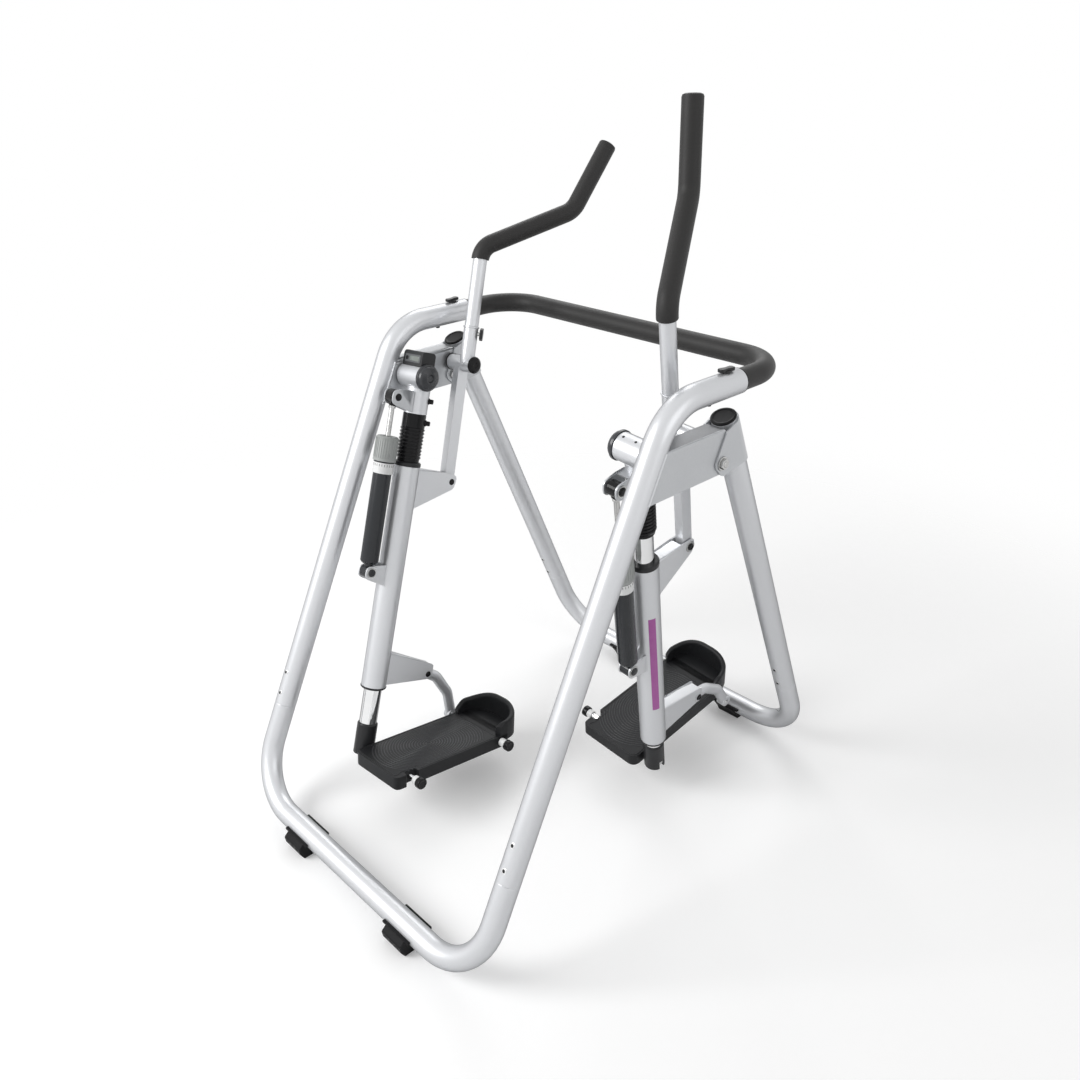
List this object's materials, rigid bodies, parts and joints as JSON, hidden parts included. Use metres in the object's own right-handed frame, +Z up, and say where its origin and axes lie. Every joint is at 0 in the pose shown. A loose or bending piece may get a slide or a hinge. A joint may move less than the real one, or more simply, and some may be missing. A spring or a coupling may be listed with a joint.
{
  "type": "folding air walker",
  "caption": "Folding air walker: tube frame with a foam handrail, telescoping foot legs hung from tilted hip axles, dampers, foot plates and foam hand levers.",
  "frame": {"origin": "on the floor under the middle of the frame", "axes": "+Z up, +Y the way the user faces, +X to the user's right"},
  "size_m": [0.7796, 1.062, 1.4076],
  "materials": {
    "silver": "satin silver powder coat",
    "chrome": "polished chrome plate",
    "black_plastic": "fine-grained moulded plastic",
    "black_rubber": "matte moulded rubber",
    "foam": "closed-cell foam with a dull skin",
    "dial_grey": "ribbed grey plastic",
    "counter_plastic": "dark grey plastic case",
    "zinc": "zinc-plated steel"
  },
  "bodies": {
    "frame": {"rear_floor_bar": "silver", "left_side_frame": "silver", "right_side_frame": "silver", "left_fold_bolt": "zinc", "right_fold_bolt": "zinc", "left_rear_foot": "black_rubber", "right_rear_foot": "black_rubber"},
    "front_stand": {"front_floor_bar": "silver", "left_front_leg": "silver", "right_front_leg": "silver", "left_leg_cap": "black_plastic", "right_leg_cap": "black_plastic", "left_front_foot": "black_rubber", "right_front_foot": "black_rubber"},
    "handrail": {"handrail_tube": "silver", "handrail_foam": "foam"},
    "left_leg": {"left_hip_sleeve": "silver", "left_hip_cap": "black_plastic", "left_inner_tube": "chrome", "left_bumper": "black_rubber", "left_damper_rod": "chrome", "left_fork": "black_plastic", "left_rear_rod": "chrome", "step_counter": "counter_plastic"},
    "left_slider": {"left_outer_tube": "silver", "left_top_bush": "black_plastic", "left_bottom_bush": "black_plastic", "left_damper_cylinder": "black_plastic", "left_link_bolt": "black_plastic"},
    "left_dial": {"left_damper_dial": "dial_grey"},
    "left_hand_lever": {"left_lever": "silver", "left_lever_cap": "black_plastic"},
    "left_handle": {"left_handle_tube": "silver", "left_grip": "foam"},
    "left_lever_screw": {"left_lever_knob": "black_plastic"},
    "left_plate": {"left_foot_plate": "black_plastic"},
    "left_arm": {"left_control_arm": "silver"},
    "left_rail_screw": {"left_rail_knob": "black_plastic"},
    "right_leg": {"right_hip_sleeve": "silver", "right_hip_cap": "black_plastic", "right_inner_tube": "chrome", "right_bumper": "black_rubber", "right_damper_rod": "chrome", "right_fork": "black_plastic", "right_rear_rod": "chrome"},
    "right_slider": {"right_outer_tube": "silver", "right_top_bush": "black_plastic", "right_bottom_bush": "black_plastic", "right_damper_cylinder": "black_plastic", "right_link_bolt": "black_plastic"},
    "right_dial": {"right_damper_dial": "dial_grey"},
    "right_hand_lever": {"right_lever": "silver", "right_lever_cap": "black_plastic"},
    "right_handle": {"right_handle_tube": "silver", "right_grip": "foam"},
    "right_lever_screw": {"right_lever_knob": "black_plastic"},
    "right_plate": {"right_foot_plate": "black_plastic"},
    "right_arm": {"right_control_arm": "silver"},
    "right_rail_screw": {"right_rail_knob": "black_plastic"}
  },
  "joints": [
    {"name": "front_stand_fold", "type": "hinge", "parent": "frame", "child": "front_stand", "pos_m": [0, 0.0798, 0.84325], "axis": [1, 0, 0], "range_deg": [-50, 0]},
    {"name": "handrail_slide", "type": "slide", "parent": "frame", "child": "handrail", "axis": [0, 1, 0], "range_m": [0, 0.05]},
    {"name": "left_leg_swing", "type": "hinge", "parent": "frame", "child": "left_leg", "pos_m": [-0.293, -0.0433, 0.87505], "axis": [0.9962, 0, 0.0872], "range_deg": [0, 36.7]},
    {"name": "left_leg_slide", "type": "slide", "parent": "left_leg", "child": "left_slider", "axis": [0.0822, -0.3322, -0.9396], "range_m": [0, 0.0759]},
    {"name": "left_lever_swing", "type": "hinge", "parent": "frame", "child": "left_hand_lever", "pos_m": [-0.29313, 0.0757, 0.87654], "axis": [0.9962, 0, 0.0872], "range_deg": [0, 35.53]},
    {"name": "left_plate_tilt", "type": "hinge", "parent": "left_leg", "child": "left_plate", "pos_m": [-0.2268, -0.30231, 0.11835], "axis": [0.9962, 0, 0.0872], "range_deg": [-17.16, 0]},
    {"name": "left_arm_swing", "type": "hinge", "parent": "left_slider", "child": "left_arm", "pos_m": [-0.23566, -0.12392, 0.21961], "axis": [0.9962, 0, 0.0872], "range_deg": [0, 2.75]},
    {"name": "left_dial_turn", "type": "hinge", "parent": "left_slider", "child": "left_dial", "pos_m": [-0.28215, -0.14142, 0.75105], "axis": [-0.0822, 0.3322, 0.9396], "range_deg": [0, 300]},
    {"name": "left_handle_height", "type": "slide", "parent": "left_hand_lever", "child": "left_handle", "axis": [-0.0833, 0.2954, 0.9517], "range_m": [0, 0.04]},
    {"name": "left_lever_screw_turn", "type": "hinge", "parent": "left_hand_lever", "child": "left_lever_screw", "pos_m": [-0.2814, 0.09174, 0.93983], "axis": [0.7226, 0.6756, -0.1465], "range_deg": [-360, 0]},
    {"name": "left_rail_screw_turn", "type": "hinge", "parent": "frame", "child": "left_rail_screw", "pos_m": [-0.356, 0.1065, 0.99], "axis": [0, 0, 1], "range_deg": [-360, 0]},
    {"name": "right_leg_swing", "type": "hinge", "parent": "frame", "child": "right_leg", "pos_m": [0.293, -0.0433, 0.87505], "axis": [0.9962, 0, -0.0872], "range_deg": [-31.7, 5]},
    {"name": "right_leg_slide", "type": "slide", "parent": "right_leg", "child": "right_slider", "axis": [-0.0852, 0.213, -0.9733], "range_m": [-0.0661, 0.0113]},
    {"name": "right_lever_swing", "type": "hinge", "parent": "frame", "child": "right_hand_lever", "pos_m": [0.29313, 0.0757, 0.87654], "axis": [0.9962, 0, -0.0872], "range_deg": [-31.6, 5.24]},
    {"name": "right_plate_tilt", "type": "hinge", "parent": "right_leg", "child": "right_plate", "pos_m": [0.22481, 0.13547, 0.09565], "axis": [0.9962, 0, -0.0872], "range_deg": [-2.66, 15.29]},
    {"name": "right_arm_swing", "type": "hinge", "parent": "right_slider", "child": "right_arm", "pos_m": [0.23499, 0.24768, 0.21195], "axis": [0.9962, 0, -0.0872], "range_deg": [-1.58, 0.42]},
    {"name": "right_dial_turn", "type": "hinge", "parent": "right_slider", "child": "right_dial", "pos_m": [0.27928, -0.06137, 0.71818], "axis": [0.0852, -0.213, 0.9733], "range_deg": [0, 300]},
    {"name": "right_handle_height", "type": "slide", "parent": "right_hand_lever", "child": "right_handle", "axis": [0.0848, -0.232, 0.969], "range_m": [0, 0.04]},
    {"name": "right_lever_screw_turn", "type": "hinge", "parent": "right_hand_lever", "child": "right_lever_screw", "pos_m": [0.28136, 0.05793, 0.93936], "axis": [-0.6901, 0.6878, 0.2251], "range_deg": [-360, 0]},
    {"name": "right_rail_screw_turn", "type": "hinge", "parent": "frame", "child": "right_rail_screw", "pos_m": [0.356, 0.1065, 0.99], "axis": [0, 0, 1], "range_deg": [-360, 0]}
  ],
  "couplings": [
    {"joint": "left_leg_slide", "follows": "left_leg_swing", "m_per_rad": 0.1169},
    {"joint": "left_lever_swing", "follows": "left_leg_swing", "ratio": 0.9599},
    {"joint": "left_plate_tilt", "follows": "left_leg_swing", "ratio": -0.4594},
    {"joint": "left_arm_swing", "follows": "left_leg_swing", "ratio": 0.0695},
    {"joint": "right_leg_slide", "follows": "right_leg_swing", "m_per_rad": 0.1176},
    {"joint": "right_lever_swing", "follows": "right_leg_swing", "ratio": 0.9875},
    {"joint": "right_plate_tilt", "follows": "right_leg_swing", "ratio": -0.4728},
    {"joint": "right_arm_swing", "follows": "right_leg_swing", "ratio": 0.0435}
  ]
}
